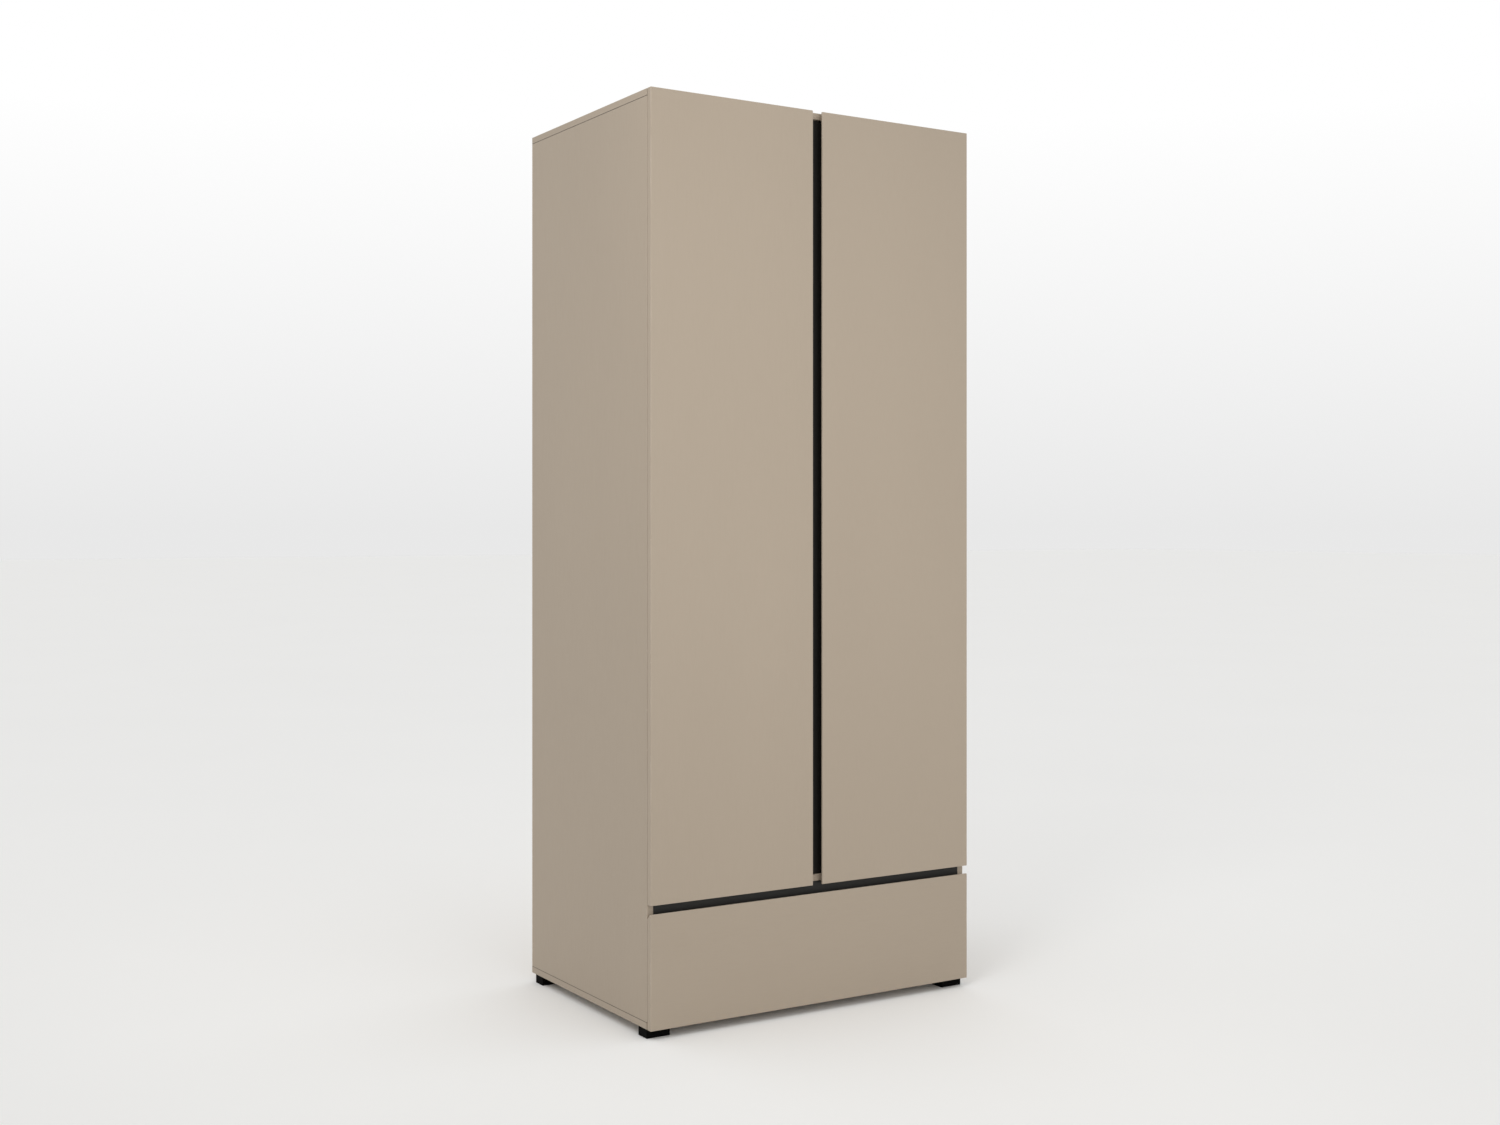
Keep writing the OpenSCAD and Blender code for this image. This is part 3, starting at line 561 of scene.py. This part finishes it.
def make_bumpers(name, node, body):
    """One object with a dome for every disc of a bumper node."""
    shape = bmesh.new()
    for low, high in solids_of(node):
        add_bumper(shape, low, high)
    bmesh.ops.recalc_face_normals(shape, faces=shape.faces)
    finished(name, shape, bumper_soft, body, node)


ARM_WALL = 0.0012
ARM_CORNER = 0.0028
ARM_CORNER_STEPS = 5
ARM_CUT_ANGLE = math.radians(50.0)
# stations of a hinge arm from its rear end to its nose: shares of its length, half width and height
ARM_STATIONS = ((1.0, 0.86, 0.80), (0.96, 1.0, 1.0), (0.37, 1.0, 1.0), (0.22, 0.80, 1.0),
                (0.04, 0.74, 1.0), (0.0, 0.66, 0.86))


def arm_section(half_width, height):
    """Half widths and heights round a pressed channel with two round corners."""
    points = [(-half_width, 0.0)]
    for side in (-1, 1):
        for i in range(ARM_CORNER_STEPS + 1):
            turn = math.radians(90.0) * i / ARM_CORNER_STEPS
            across, up = (math.cos(turn), math.sin(turn)) if side < 0 else (math.sin(turn), math.cos(turn))
            points.append((side * (half_width - ARM_CORNER + ARM_CORNER * across),
                           height - ARM_CORNER + ARM_CORNER * up))
    points.append((half_width, 0.0))
    return points


def add_arm(shape, low, high):
    """A tapered channel over a mounting plate, open towards the side panel, closed at its nose."""
    inward = 1.0 if high.x < 0.0 else -1.0
    wall_x = low.x if inward > 0.0 else high.x
    middle = (low + high) / 2
    rings = []
    for length_share, width_share, height_share in ARM_STATIONS:
        y = low.y + (high.y - low.y) * length_share
        section = arm_section((high.z - low.z) / 2 * width_share, (high.x - low.x) * height_share)
        places = [(wall_x + inward * up, y, middle.z + across) for across, up in section]
        rings.append([shape.verts.new(place) for place in places])
    faces_before = len(shape.faces)
    loft(shape, rings, closed=False)
    shape.faces.new(rings[-1])
    shape.faces.ensure_lookup_table()
    for face in shape.faces[faces_before:]:
        face.normal_update()
        outward = face.calc_center_median() - Vector((wall_x, middle.y, middle.z))
        if face.normal.dot(outward) < 0.0:
            face.normal_flip()


def make_hinge_arms():
    """All hinge arms as one object: bent sheets that modifiers make thick, with blunt cut edges."""
    shape = bmesh.new()
    for low, high in solids_of("hinge_arms"):
        add_arm(shape, low, high)
    arms = finished("pressed_hinge_arms", shape, nickel, "carcass", "hinge_arms")
    sheet = arms.modifiers.new("sheet", "SOLIDIFY")
    sheet.thickness = ARM_WALL
    sheet.offset = -1.0
    cut = arms.modifiers.new("cut_edges", "BEVEL")
    cut.width = METAL_ROUND
    cut.segments = METAL_SEGMENTS
    cut.limit_method = "ANGLE"
    cut.angle_limit = ARM_CUT_ANGLE
    cut.harden_normals = True


make_bumpers("soft_bumpers_left", "door_bumpers_left", "left_door")
make_bumpers("soft_bumpers_right", "door_bumpers_right", "right_door")
make_bumpers("soft_bumpers_drawer", "drawer_bumpers", "drawer")
make_hinge_arms()

# ---------- stage ----------

FLOOR_HALF = 60.0
FLOOR_TONE = (0.950, 0.948, 0.935)
# brightness of the surround as a light, and as the camera sees it from the horizon up
STUDIO_GLOW = 0.85
HORIZON_GLOW = 0.81
WALL_GLOW = 1.0
# sine of the height at which the studio wall has reached its full brightness
WALL_RISE = 0.22


def make_floor():
    mesh = bpy.data.meshes.new("studio_floor")
    corners = [(x, y, 0.0) for x, y in ((-1, -1), (1, -1), (1, 1), (-1, 1))]
    mesh.from_pydata([(x * FLOOR_HALF, y * FLOOR_HALF, z) for x, y, z in corners], [], [(0, 1, 2, 3)])
    floor = bpy.data.objects.new("studio_floor", mesh)
    bpy.context.scene.collection.objects.link(floor)
    mesh.materials.append(studio_floor("studio_floor", FLOOR_TONE))


def aim(thing, target):
    thing.rotation_euler = (Vector(target) - thing.location).to_track_quat("-Z", "Y").to_euler()


def soft_light(name, place, target, size, spread, watts, colour):
    """A rectangular lamp; spread is the angle in degrees that its light opens to."""
    lamp = bpy.data.lights.new(name, "AREA")
    lamp.shape = "RECTANGLE"
    lamp.size, lamp.size_y = size
    lamp.spread = math.radians(spread)
    lamp.energy = watts
    lamp.color = colour
    light = bpy.data.objects.new(name, lamp)
    bpy.context.scene.collection.objects.link(light)
    light.location = place
    aim(light, target)


def make_world():
    """An even white surround. Behind the floor it starts as bright as the floor, so no horizon shows."""
    world = bpy.data.worlds.new("studio")
    world.use_nodes = True
    tree = world.node_tree
    direction = add(tree, "TexCoord").outputs["Generated"]
    height = add(tree, "SeparateXYZ", {0: direction}).outputs["Z"]
    wall = remap(tree, height, 0.0, WALL_RISE, HORIZON_GLOW, WALL_GLOW)
    seen = add(tree, "LightPath").outputs["Is Camera Ray"]
    glow = remap(tree, seen, 0.0, 1.0, STUDIO_GLOW, wall)
    tree.links.new(glow, tree.nodes["Background"].inputs["Strength"])
    tree.nodes["Background"].inputs["Color"].default_value = (1.0, 1.0, 1.0, 1.0)
    bpy.context.scene.world = world


# what the lamps are aimed at: shares of the height, and a place along the left side's depth
FRONT_AIM_SHARE = 0.66
CORNER_AIM_SHARE = 0.75
CORNER_AIM_Y = -0.25


def make_lights():
    """One tall lamp before the doors and a smaller one high to their left."""
    low, high = cad_box
    front_middle = Vector((0.0, low.y, high.z * FRONT_AIM_SHARE))
    left_corner = Vector((low.x, CORNER_AIM_Y, high.z * CORNER_AIM_SHARE))
    soft_light("front_lamp", (0.0, -2.6, 1.6), front_middle, size=(1.6, 2.4), spread=90.0, watts=4.45,
               colour=(0.96, 0.98, 1.0))
    soft_light("corner_lamp", (-2.0, -1.6, 2.9), left_corner, size=(1.0, 1.4), spread=80.0, watts=4.76,
               colour=(1.0, 0.99, 0.97))


# The camera stands level, in front of the left corner; its shift keeps the uprights upright.
CAMERA_PLACE = (-2.3580, -3.7864, 1.1519)
CAMERA_TURN = 31.97
CAMERA_LENS = 42.58
CAMERA_SHIFT = -0.02469
SENSOR_WIDTH = 36.0


def make_camera():
    lens = bpy.data.cameras.new("camera")
    lens.sensor_fit = "HORIZONTAL"
    lens.sensor_width = SENSOR_WIDTH
    lens.lens = CAMERA_LENS
    lens.shift_y = CAMERA_SHIFT
    camera = bpy.data.objects.new("camera", lens)
    bpy.context.scene.collection.objects.link(camera)
    camera.location = CAMERA_PLACE
    camera.rotation_euler = (math.radians(90.0), 0.0, math.radians(-CAMERA_TURN))
    bpy.context.scene.camera = camera


make_floor()
make_world()
make_lights()
make_camera()
bpy.context.scene.view_settings.view_transform = "Standard"
